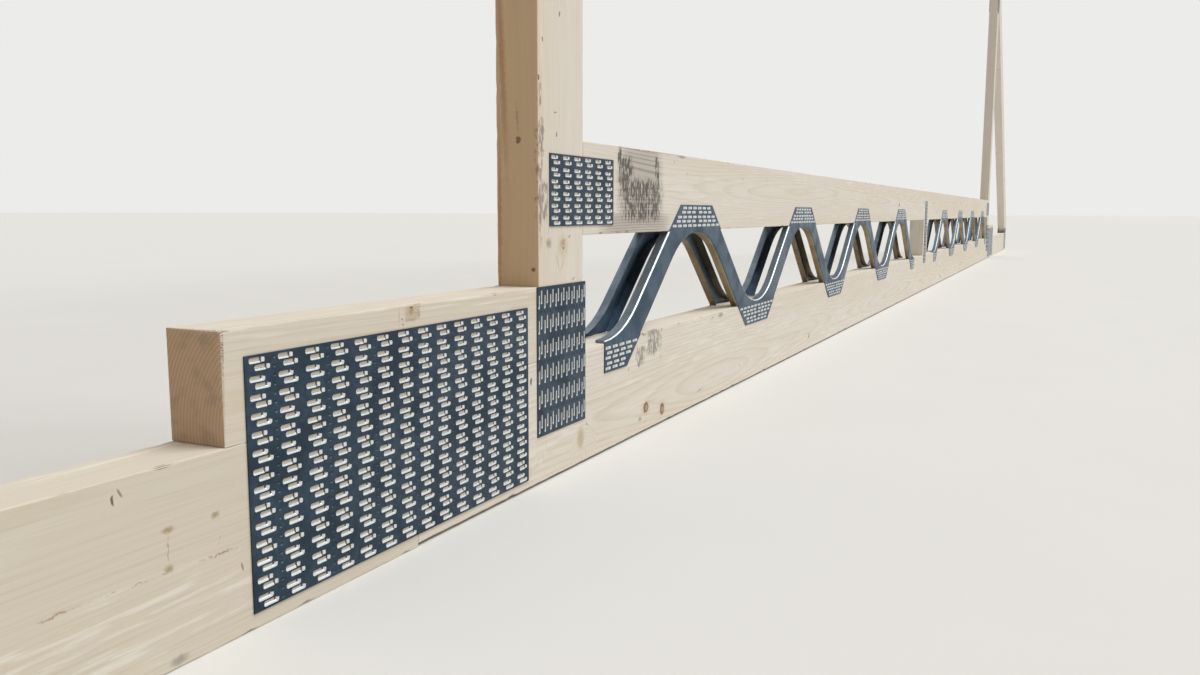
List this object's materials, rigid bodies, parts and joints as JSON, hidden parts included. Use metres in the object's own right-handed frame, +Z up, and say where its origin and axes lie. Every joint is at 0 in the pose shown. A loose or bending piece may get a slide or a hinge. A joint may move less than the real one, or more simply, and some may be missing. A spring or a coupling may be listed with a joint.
{
  "type": "wooden roof truss",
  "caption": "Timber attic roof truss with upright posts, a ceiling tie and a deep floor whose two chords are joined by pressed steel webs and punched nail plates",
  "frame": {"origin": "in the middle of the span and of the timber's thickness, on the underside of the bottom chord's end timbers", "axes": "X along the span, Y through the 47 mm thickness with the front face to -Y, Z up"},
  "size_m": [9.2, 0.049, 4.0757],
  "materials": {
    "softwood": "sawn and regularised spruce, pale, with fine grain and small knots",
    "galvanised_steel": "cold zinc coating, dull blue-grey"
  },
  "bodies": {
    "root": {"apex_plate_back": "galvanised_steel", "apex_plate_front": "galvanised_steel", "block_left": "softwood", "block_right": "softwood", "bottom_chord_centre": "softwood", "bottom_chord_left": "softwood", "bottom_chord_right": "softwood", "ceiling_tie": "softwood", "centre_stud": "softwood", "floor_chord": "softwood", "floor_end_plate_left_back": "galvanised_steel", "floor_end_plate_left_front": "galvanised_steel", "floor_end_plate_right_back": "galvanised_steel", "floor_end_plate_right_front": "galvanised_steel", "heel_plate_left_back": "galvanised_steel", "heel_plate_left_front": "galvanised_steel", "heel_plate_right_back": "galvanised_steel", "heel_plate_right_front": "galvanised_steel", "knee_plate_left_back": "galvanised_steel", "knee_plate_left_front": "galvanised_steel", "knee_plate_right_back": "galvanised_steel", "knee_plate_right_front": "galvanised_steel", "post_foot_plate_left_back": "galvanised_steel", "post_foot_plate_left_front": "galvanised_steel", "post_foot_plate_right_back": "galvanised_steel", "post_foot_plate_right_front": "galvanised_steel", "post_left": "softwood", "post_right": "softwood", "rafter_left": "softwood", "rafter_right": "softwood", "splice_plate_left_back": "galvanised_steel", "splice_plate_left_front": "galvanised_steel", "splice_plate_right_back": "galvanised_steel", "splice_plate_right_front": "galvanised_steel", "stud_plate_back": "galvanised_steel", "stud_plate_front": "galvanised_steel", "tie_plate_left_back": "galvanised_steel", "tie_plate_left_front": "galvanised_steel", "tie_plate_right_back": "galvanised_steel", "tie_plate_right_front": "galvanised_steel", "web_strip_left_back": "galvanised_steel", "web_strip_left_front": "galvanised_steel", "web_strip_right_back": "galvanised_steel", "web_strip_right_front": "galvanised_steel"}
  },
  "joints": []
}
